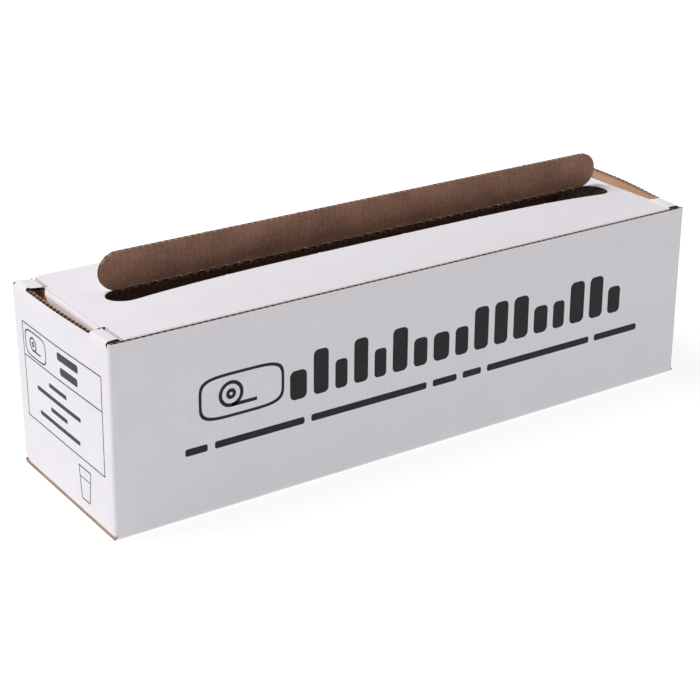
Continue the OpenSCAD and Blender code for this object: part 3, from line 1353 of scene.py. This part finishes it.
    @staticmethod
    def _corner(start: Point, foot: Point, along: Point) -> Point:
        """Where the line back from foot meets the level of start."""
        t = (start[1] - foot[1]) / -along[1]
        return foot[0] - along[0] * t, start[1]

    def build_right_ear(self) -> None:
        """Makes the right ear, which hangs inside the end wall, and its crease."""
        r = self.crease_radius
        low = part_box("right_lid_ear")[0].z
        fold = Fold([(self.half - r, TOP), (self.half, TOP), (self.half, low)], [r], steps=8)
        split = fold.start_of(2)

        def place(u: Array, v: Array, depth: Array) -> tuple[Array, Array]:
            """Folds the ear down; the brown side is inside the fold."""
            p, left, wear = fold.at(u)
            x, z = p[:, 0] - left[:, 0] * depth, p[:, 1] - left[:, 1] * depth
            return np.column_stack([x, v, z]), wear * 0.5

        front, back = self.ear_front + 0.2 * MM, self.ear_back - 0.2 * MM
        crease = Blank(
            [(0.0, front), (split, front), (split, back), (0.0, back)], place, across_lines=fold.lines(),
        ).board().make("right_ear_crease", self.finishes.board())
        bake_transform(crease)
        report(crease, Body.LID, Body.RIGHT_EAR)
        end = fold.length
        ear = Blank(
            [(split, front), (end - 1 * MM, front + 6 * MM), (end, front + 8 * MM),
             (end, back - 17 * MM), (end - 1 * MM, back - 15 * MM), (split, back)], place,
        ).board().make("right_ear_board", self.finishes.board())
        attach(ear, Body.RIGHT_EAR, Slot.WHITE, "right_lid_ear")

    def build(self) -> None:
        """Makes every piece of the lid but the dispensing flap."""
        self.build_panel()
        self.build_back_crease()
        self.build_tuck_flap()
        self.build_right_ear()


@dataclass
class DispensingFlap:
    """Flap cut from the lid, which stands on its cut-and-crease hinge."""

    finishes: Finishes
    lid: Lid
    opened: float = math.radians(88)
    foot: float = 0.3 * MM
    foot_cut: float = 0.5 * MM
    tie_pitch: float = 6.1 * MM
    tie: float = 2.2 * MM
    notch: float = 0.35 * MM
    cut_run: float = 0.2 * MM
    crush: float = 0.6
    turn_steps: int = 8

    def __post_init__(self) -> None:
        """Works out the flap's own directions."""
        self.along = (-math.cos(self.opened), math.sin(self.opened))
        self.back = (math.sin(self.opened), math.cos(self.opened))

    def place(self, u: Array, v: Array, depth: Array) -> tuple[Array, Array]:
        """Stands the flap on the hinge, with its brown side to the front.

        Args:
            u: places across the flutes.
            v: places along the flutes.
            depth: depths below the white face.

        Returns:
            The points in the part's frame, and how sharply the board is folded at each.
        """
        y = self.lid.hinge_y + self.along[0] * v - self.back[0] * depth
        z = TOP + self.along[1] * v - self.back[1] * depth
        wear = np.exp(-v / (0.7 * MM))
        return np.column_stack([u, y, z]), wear

    def tie_starts(self) -> list[float]:
        """Where each tie of the hinge starts.

        Returns:
            The places along X.
        """
        left, right = self.lid.slot_left + self.lid.slot_half, self.lid.slot_right - self.lid.slot_half
        count = round((right - left) / self.tie_pitch)
        return [left + (i + 0.5) * (right - left) / count - self.tie / 2 for i in range(count)]

    def build_flap(self) -> None:
        """Makes the flap's board, its foot cut back a little between the ties."""
        starts = self.tie_starts()
        free = self.lid.slot_loop(inset=self.foot, nick=-self.notch)
        half = self.lid.arc_points
        foot = []
        for x0, x1 in zip(starts, starts[1:]):
            cut = self.foot + self.foot_cut
            left, right = x0 + self.tie, x1
            foot += [
                (left, self.foot), (left + self.cut_run, cut),
                (right - self.cut_run, cut), (right, self.foot),
            ]
        loop = [*free[:half], *foot, *free[half:]]
        board = Blank(loop, self.place, grid=5 * MM).board()
        attach(
            board.make("dispensing_flap_board", self.finishes.flap_board()),
            Body.FLAP, Slot.KRAFT, "dispensing_flap",
        )

    def build_hinge(self) -> None:
        """Makes the ties of board between the cuts along the hinge."""
        parts = MeshParts()
        turn = np.linspace(-QUARTER, -QUARTER - self.opened, self.turn_steps + 1)
        crushed = self.crush * BOARD
        rings = [(crushed, Layer.KRAFT), (crushed - LINER, Layer.MEDIUM), (LINER, Layer.WHITE)]
        for x0 in self.tie_starts():
            for (outer, layer), inner in zip(rings, (crushed - LINER, LINER, 0.02 * MM)):
                self._tie(parts, x0, turn, outer, inner, layer)
        piece = parts.make("flap_hinge_ties", self.finishes.hinge_board())
        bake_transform(piece)
        report(piece, Body.LID, Body.FLAP)

    def _tie(
        self, parts: MeshParts, x0: float, turn: Array, outer: float, inner: float, layer: Layer,
    ) -> None:
        """Adds one layer of one tie, a wedge round the hinge.

        Args:
            parts: the mesh to add to.
            x0: where the tie starts along X.
            turn: angles round the hinge.
            outer: its outer radius.
            inner: its inner radius.
            layer: material of its curved faces.
        """
        n = len(turn)
        points = []
        for x in (x0, x0 + self.tie):
            for radius in (outer, inner):
                points += [
                    (x, self.lid.hinge_y + radius * math.cos(t), TOP + radius * math.sin(t)) for t in turn
                ]
        faces, layers = [], []
        for k in range(n - 1):
            faces += [(k, k + 1, 2 * n + k + 1, 2 * n + k), (n + k, 3 * n + k, 3 * n + k + 1, n + k + 1)]
            layers += [layer.value] * 2
            faces += [(k, n + k, n + k + 1, k + 1), (2 * n + k, 2 * n + k + 1, 3 * n + k + 1, 3 * n + k)]
            layers += [Layer.PULP.value] * 2
        faces += [(0, 2 * n, 3 * n, n), (n - 1, 2 * n - 1, 4 * n - 1, 3 * n - 1)]
        layers += [Layer.PULP.value] * 2
        parts.add(np.array(points), faces, layers, wear=np.ones(len(points)))

    def build(self) -> None:
        """Makes the flap and its hinge."""
        self.build_flap()
        self.build_hinge()


# ---------------------------------------------------------------- roll


@dataclass
class FilmRoll:
    """Roll of cling film: core tube, winding and the film's free end."""

    finishes: Finishes
    segments: int = 96
    tail_flat: float = 43.6 * MM
    tail_from: float = math.radians(50)
    tail_to: float = math.radians(120)
    tail_grid: tuple[int, int] = (120, 26)
    tail_half_thick: float = 0.02 * MM
    ripple_depth: float = math.sin(1.0)
    core_wall: float = 2.5 * MM

    def __post_init__(self) -> None:
        """Reads the roll's sizes from the frame."""
        low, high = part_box("film_winding")
        self.centre = ((low.y + high.y) / 2, (low.z + high.z) / 2)
        self.radius = (high.z - low.z) / 2
        self.half = high.x
        core_low, core_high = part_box("core_tube")
        self.core_radius = (core_high.z - core_low.z) / 2
        self.core_half = core_high.x

    def _lathe(self, name: str, section: Sequence[Point], material: bpy.types.Material) -> bpy.types.Object:
        """Turns a closed section of (x, radius) round the roll's axis.

        Args:
            name: the piece's name.
            section: the section.
            material: its material.

        Returns:
            The piece.
        """
        n, m = len(section), self.segments
        angles = np.linspace(0, 2 * math.pi, m, endpoint=False)
        x = np.repeat([p[0] for p in section], m)
        radius = np.repeat([p[1] for p in section], m)
        turn = np.tile(angles, n)
        points = np.column_stack(
            [x, self.centre[0] + radius * np.cos(turn), self.centre[1] + radius * np.sin(turn)]
        )
        faces = [
            (i * m + j, i * m + (j + 1) % m, ((i + 1) % n) * m + (j + 1) % m, ((i + 1) % n) * m + j)
            for i in range(n) for j in range(m)
        ]
        parts = MeshParts()
        parts.add(points, faces, 0, np.column_stack([turn / (2 * math.pi), x, radius]))
        return parts.make(name, [material], sharp=0.9)

    def build_core(self) -> None:
        """Makes the core tube, its ends slightly burred where they were cut."""
        r, w, h = self.core_radius, self.core_wall, self.core_half
        burr = 0.25 * MM
        dish = 0.15 * MM
        section = [
            (-h + burr, r), (h - burr, r), (h, r - burr), (h - dish, r - w / 2), (h, r - w + burr),
            (h - burr, r - w), (-h + burr, r - w),
            (-h, r - w + burr), (-h + dish, r - w / 2), (-h, r - burr),
        ]
        attach(self._lathe("roll_core", section, self.finishes.core), Body.ROLL, Slot.CORE, "core_tube")

    def build_winding(self) -> None:
        """Makes the winding, with layers that step in and out a little at its ends."""
        rng = np.random.default_rng(7)
        inner, outer = self.core_radius + 0.05 * MM, self.radius
        layers = np.linspace(inner, outer - 0.5 * MM, 26)
        offsets = rng.uniform(0.0, 0.35, len(layers)) * MM
        right = [(self.half - o, r) for o, r in zip(offsets, layers)]
        bands = np.linspace(-1, 1, 41)[::-1]
        swell = rng.uniform(-0.12, 0.0, len(bands)) * MM
        top = [(b * (self.half - 1.2 * MM), outer + s) for b, s in zip(bands, swell)]
        left = [(-self.half + o, r) for o, r in zip(rng.uniform(0.0, 0.35, len(layers)) * MM, layers)]
        section = right + top + left[::-1]
        attach(
            self._lathe("film_winding_roll", section, self.finishes.wound),
            Body.ROLL, Slot.FILM, "film_winding",
        )

    def build_tail(self) -> None:
        """Makes the film's free end, which clings to the winding and lifts at its edge."""
        rng = np.random.default_rng(11)
        along, around = self.tail_grid
        phases = rng.uniform(0, 2 * math.pi, 6)
        xs = np.linspace(-self.half + 0.2 * MM, self.half - 0.2 * MM, along)
        rows = []
        for k in range(around):
            t = k / (around - 1)
            ripple = sum(self.ripple_depth * np.sin(xs * (90 + 47 * i) + phases[i]) for i in range(6)) / 6
            angle = self.tail_from + (self.tail_to - self.tail_from) * t + 0.012 * t * ripple
            lift = 0.06 * MM + 0.16 * MM * t ** 4 * (1 + ripple)
            radius = self.radius + lift
            rows.append(np.column_stack(
                [xs, self.centre[0] + radius * np.cos(angle), self.centre[1] + radius * np.sin(angle)]
            ))
        sheet = np.vstack(rows)
        axis = np.array([0.0, *self.centre])
        out = sheet - axis
        out[:, 0] = 0
        out /= np.linalg.norm(out, axis=1)[:, None]
        points = np.vstack([sheet + out * self.tail_half_thick, sheet - out * self.tail_half_thick])
        n = len(sheet)
        faces = []
        for k in range(around - 1):
            for i in range(along - 1):
                a = k * along + i
                faces.append((a, a + 1, a + along + 1, a + along))
                faces.append((n + a, n + a + along, n + a + along + 1, n + a + 1))
        rim = list(range(along)) + [k * along + along - 1 for k in range(1, around)]
        rim += [(around - 1) * along + i for i in range(along - 2, -1, -1)]
        rim += [k * along for k in range(around - 2, 0, -1)]
        faces += [(a, b, n + b, n + a) for a, b in zip(rim, [*rim[1:], rim[0]])]
        parts = MeshParts()
        parts.add(points, faces, 0)
        piece = attach(
            parts.make("film_tail_sheet", [self.finishes.loose], sharp=1.2),
            Body.ROLL, Slot.FILM, "film_tail",
        )

    def build(self) -> None:
        """Makes every piece of the roll."""
        self.build_core()
        self.build_winding()
        self.build_tail()


# ---------------------------------------------------------------- print


@dataclass
class Print:
    """Flat printed shapes, laid on a panel as a thin film of ink."""

    to_panel: Callable[[Array, Array, Array], Array]
    ink: float = 0.03 * MM
    gap: float = 0.004 * MM
    parts: MeshParts = field(default_factory=MeshParts)

    def _both_faces(self, flat: Array) -> Array:
        """Points of the ink's top face and then of its low face, over flat points."""
        x, y = flat[:, 0], flat[:, 1]
        return np.vstack([self.to_panel(x, y, np.full(len(flat), level)) for level in (self.ink, self.gap)])

    def band(self, low_side: Array, high_side: Array) -> None:
        """Adds a printed band between two rows of points, in quads that follow the panel.

        Args:
            low_side: points along one side.
            high_side: points along the other side, as many.
        """
        n = len(low_side)
        faces = []
        for i in range(n - 1):
            faces += [(i, i + 1, n + i + 1, n + i), (2 * n + i, 3 * n + i, 3 * n + i + 1, 2 * n + i + 1)]
            faces += [(i, 2 * n + i, 2 * n + i + 1, i + 1), (n + i, n + i + 1, 3 * n + i + 1, 3 * n + i)]
        faces += [(0, n, 3 * n, 2 * n), (n - 1, 3 * n - 1, 4 * n - 1, 2 * n - 1)]
        self.parts.add(self._both_faces(np.vstack([low_side, high_side])), faces, 0)

    def line(self, p: Point, q: Point, width: float) -> None:
        """Adds a straight printed line.

        Args:
            p: one end.
            q: the other end.
            width: the line's width.
        """
        a, b = np.array(p, float), np.array(q, float)
        d = (b - a) / np.linalg.norm(b - a)
        side = np.array([-d[1], d[0]]) * width / 2
        middle = a + np.linspace(0, 1, max(2, round(math.dist(p, q) / (3 * MM)) + 1))[:, None] * (b - a)
        self.band(middle - side, middle + side)

    def ring(self, centre: Point, half: Point, width: float, round_to: float = 2.0, steps: int = 72) -> None:
        """Adds a closed printed outline.

        Args:
            centre: its middle.
            half: its half width and half height.
            width: the line's width.
            round_to: 2 for an ellipse, more for a rounded rectangle.
            steps: how many pieces it has.
        """
        t = np.linspace(0, 2 * math.pi, steps, endpoint=False)
        c, s = np.cos(t), np.sin(t)
        shape = 1 / (np.abs(c) ** round_to + np.abs(s) ** round_to) ** (1 / round_to)
        outer, inner = (
            np.column_stack([
                centre[0] + (half[0] - cut) * shape * c,
                centre[1] + (half[1] - cut) * shape * s,
            ])
            for cut in (0.0, width)
        )
        n = steps
        faces = []
        for i in range(n):
            j = (i + 1) % n
            faces += [(i, j, n + j, n + i), (2 * n + i, 3 * n + i, 3 * n + j, 2 * n + j)]
            faces += [(i, 2 * n + i, 2 * n + j, j), (n + i, n + j, 3 * n + j, 3 * n + i)]
        self.parts.add(self._both_faces(np.vstack([outer, inner])), faces, 0)

    def bar(self, left: float, right: float, low: float, high: float) -> None:
        """Adds a bar with rounded corners, which stands for a word or a part of one.

        Args:
            left: its left end.
            right: its right end.
            low: its lower edge.
            high: its upper edge.
        """
        r = min(0.3 * (high - low), 0.3 * (right - left))
        turn = np.linspace(0, QUARTER, 5)
        start = left + r * (1 - np.cos(turn))
        inset = r * (1 - np.sin(turn))
        middle = np.linspace(left + r, right - r, max(2, round((right - left) / (3 * MM))))[1:-1]
        xs = np.concatenate([start, middle, left + right - start[::-1]])
        cut = np.concatenate([inset, 0 * middle, inset[::-1]])
        self.band(np.column_stack([xs, low + cut]), np.column_stack([xs, high - cut]))

    def blocks(self, left: float, right: float, low: float, small: float, tall: float, seed: int) -> None:
        """Adds a row of plain blocks, some of them tall, which stands for one large word.

        Args:
            left: where the row starts.
            right: where it ends.
            low: the foot of the blocks.
            small: height of a small block.
            tall: height of a tall block.
            seed: seed of the widths and heights.
        """
        rng = np.random.default_rng(seed)
        at, room = left, right - left
        while at < left + room - 4 * MM:
            width = rng.uniform(6.4, 9.4) * MM
            height = tall if rng.random() < 0.35 else small
            self.bar(at, min(at + width, right), low, low + height)
            at += width + 3.6 * MM

    def roll_sign(self, centre: Point, size: float, width: float) -> None:
        """Adds a plain sign of a roll, with a sheet that comes off it.

        Args:
            centre: the roll's middle.
            size: the roll's radius.
            width: the line's width.
        """
        x, z = centre
        self.ring(centre, (size, size), width, steps=48)
        self.ring(centre, (size * 0.4, size * 0.4), width, steps=36)
        self.line((x, z - size + width / 2), (x + size * 2.1, z - size + width / 2), width)

    def cup(self, centre: Point, half: Point, width: float) -> None:
        """Adds the outline of a plain tumbler, narrower at its foot.

        Args:
            centre: its middle.
            half: its half width and half height.
            width: the line's width.
        """
        (x, z), (w, h) = centre, half
        corners = [(x - w, z + h), (x + w, z + h), (x + 0.66 * w, z - h), (x - 0.66 * w, z - h)]
        for p, q in zip(corners, [*corners[1:], corners[0]]):
            self.line(p, q, width)
        self.line((x - 0.9 * w, z + 0.35 * h), (x + 0.9 * w, z + 0.35 * h), width * 0.8)

    def make(self, name: str, ink: bpy.types.Material) -> None:
        """Makes the piece."""
        attach(self.parts.make(name, [ink], sharp=0.9), Body.CARTON, Slot.WHITE)


@dataclass
class CartonPrint:
    """Generic print: bars in place of words, a plain badge, and a framed label on the left end."""

    finishes: Finishes
    left_wall: EndWall
    small_words: tuple[float, ...] = (11, 46, 64, 14, 11, 64, 28)
    word_gap: float = 3.6
    label_lines: tuple[Point, ...] = ((8.5, 49.6), (21, 43.8), (8, 38), (19.5, 32.2))

    def build_front(self) -> None:
        """Prints the front: a badge, a headline and one small line."""

        def on_front(x: Array, z: Array, proud: Array) -> Array:
            """Points on the front panel."""
            return np.column_stack([x, -HALF_W - proud, z])

        art = Print(on_front)
        art.ring((-98.5 * MM, 54 * MM), (21.5 * MM, 10.5 * MM), 1.4 * MM, round_to=4.5)
        art.roll_sign((-104 * MM, 54.4 * MM), 6.2 * MM, 1.7 * MM)
        art.blocks(-74 * MM, 122 * MM, 43 * MM, 14 * MM, 21.5 * MM, seed=5)
        at = -127.0
        for word in self.small_words:
            art.bar(at * MM, (at + word) * MM, 30.4 * MM, 33.8 * MM)
            at += word + self.word_gap
        art.make("front_print", self.finishes.ink)

    def build_end(self) -> None:
        """Prints the left end: a framed label with a badge and bars, and a plain sign below it."""

        def on_end(y: Array, z: Array, proud: Array) -> Array:
            """Points on the left end panel."""
            points, _ = self.left_wall.place(-y, z - self.left_wall.low, -proud)
            return points

        art = Print(on_end)
        thin = 0.6 * MM
        left, right, low, high, rule = -37.5 * MM, 36.5 * MM, 27 * MM, 73 * MM, 57 * MM
        frame_lines = [
            ((left, low), (right, low)), ((left, high), (right, high)), ((left, low), (left, high)),
            ((right, low), (right, high)), ((left, rule), (right, rule)),
        ]
        for p, q in frame_lines:
            art.line(p, q, thin)
        art.ring((-25 * MM, 64.6 * MM), (10.5 * MM, 6.4 * MM), 0.7 * MM, round_to=4.5, steps=56)
        art.roll_sign((-27.5 * MM, 64.8 * MM), 3.5 * MM, 0.9 * MM)
        art.bar(-3 * MM, 16 * MM, 66.6 * MM, 70.4 * MM)
        art.bar(-1 * MM, 15 * MM, 60 * MM, 63.8 * MM)
        for half, z in self.label_lines:
            art.bar((-5 - half) * MM, (-5 + half) * MM, z * MM, (z + 2.1) * MM)
        art.cup((17.5 * MM, 15 * MM), (5.6 * MM, 7.6 * MM), 0.6 * MM)
        art.make("left_end_print", self.finishes.thin_ink)

    def build(self) -> None:
        """Makes both prints."""
        self.build_front()
        self.build_end()


# ---------------------------------------------------------------- stage


@dataclass
class Stage:
    """Pale floor, one soft light, white surround and the camera."""

    camera_place: tuple[float, float, float] = (-0.4555, -0.64123, 0.37309)
    camera_down: float = 19.26
    camera_turn: float = -34.2
    camera_roll: float = 0.427
    lens: float = 90.85
    shift: Point = (0.02, -0.18)
    floor_half: float = 9.0
    floor_shade: float = 0.3
    floor_glow: float = 0.83
    surround_seen: float = 1.1
    surround_light: float = 0.3
    key_place: tuple[float, float, float] = (-1.44, 1.166, 2.87)
    key_size: float = 2.42
    key_power: float = 104.0

    def build_floor(self) -> None:
        """Makes a wide pale floor."""
        mesh = bpy.data.meshes.new("floor")
        far, shade = self.floor_half, self.floor_shade
        mesh.from_pydata([(-far, -far, 0), (far, -far, 0), (far, far, 0), (-far, far, 0)], [], [(0, 1, 2, 3)])
        floor = bpy.data.objects.new("floor", mesh)
        bpy.context.scene.collection.objects.link(floor)
        floor.location.z = -0.0001
        g = Graph("floor")
        g.set(Base_Color=(shade, shade, shade), Roughness=0.9, Specular_IOR_Level=0.0)
        g.set(Emission_Color=(1.0, 1.0, 1.0), Emission_Strength=self.floor_glow)
        mesh.materials.append(g.material)

    def build_surround(self) -> None:
        """Makes the white surround, seen brighter than it lights."""
        world = bpy.data.worlds.new("surround")
        bpy.context.scene.world = world
        world.use_nodes = True
        tree = world.node_tree
        background = tree.nodes["Background"]
        seen = tree.nodes.new("ShaderNodeBackground")
        seen.inputs["Color"].default_value = (1, 1, 1, 1)
        seen.inputs["Strength"].default_value = self.surround_seen
        background.inputs["Color"].default_value = (0.97, 0.96, 1.0, 1)
        background.inputs["Strength"].default_value = self.surround_light
        path = tree.nodes.new("ShaderNodeLightPath")
        mix = tree.nodes.new("ShaderNodeMixShader")
        tree.links.new(path.outputs["Is Camera Ray"], mix.inputs[0])
        tree.links.new(background.outputs[0], mix.inputs[1])
        tree.links.new(seen.outputs[0], mix.inputs[2])
        tree.links.new(mix.outputs[0], tree.nodes["World Output"].inputs[0])

    def build_lights(self) -> None:
        """Makes a large key light, above the left end and behind."""
        light = bpy.data.lights.new("key", "AREA")
        light.shape = "DISK"
        light.size = self.key_size
        light.energy = self.key_power
        lamp = bpy.data.objects.new("key", light)
        bpy.context.scene.collection.objects.link(lamp)
        lamp.location = self.key_place
        aim = Vector((0, 0, 0.05)) - Vector(self.key_place)
        lamp.rotation_mode = "QUATERNION"
        lamp.rotation_quaternion = aim.to_track_quat("-Z", "Y")

    def build_camera(self) -> None:
        """Makes the camera."""
        data = bpy.data.cameras.new("camera")
        data.sensor_width = 36.0
        data.lens = self.lens
        data.shift_x, data.shift_y = self.shift
        camera = bpy.data.objects.new("camera", data)
        bpy.context.scene.collection.objects.link(camera)
        camera.location = self.camera_place
        aim = Euler((math.radians(90 - self.camera_down), 0, math.radians(self.camera_turn))).to_quaternion()
        camera.rotation_mode = "QUATERNION"
        camera.rotation_quaternion = aim @ Quaternion((0, 0, 1), math.radians(self.camera_roll))
        bpy.context.scene.camera = camera

    def build_view(self) -> None:
        """Sets plain colour handling."""
        bpy.context.scene.view_settings.view_transform = "Standard"

    def build(self) -> None:
        """Makes the whole stage."""
        self.build_camera()
        self.build_floor()
        self.build_surround()
        self.build_lights()
        self.build_view()


def main() -> None:
    """Builds the dispenser and its stage."""
    logging.basicConfig(level=logging.INFO, format="%(name)s: %(message)s")
    Stage().build()
    finishes = Finishes()
    CartonWrap(finishes).build()
    below = 0.3 * MM
    left_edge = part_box("left_lid_ear")[1].z - below
    left = EndWall(finishes, side=-1, flare=2.0 * MM, lift=0.0, inner_edge=left_edge)
    right = EndWall(finishes, side=1, flare=5.5 * MM, lift=1.5 * MM, inner_edge=TOP - below)
    left.build()
    right.build()
    lid = Lid(finishes)
    lid.build()
    DispensingFlap(finishes, lid).build()
    FilmRoll(finishes).build()
    CartonPrint(finishes, left).build()


if __name__ == "__main__":
    main()
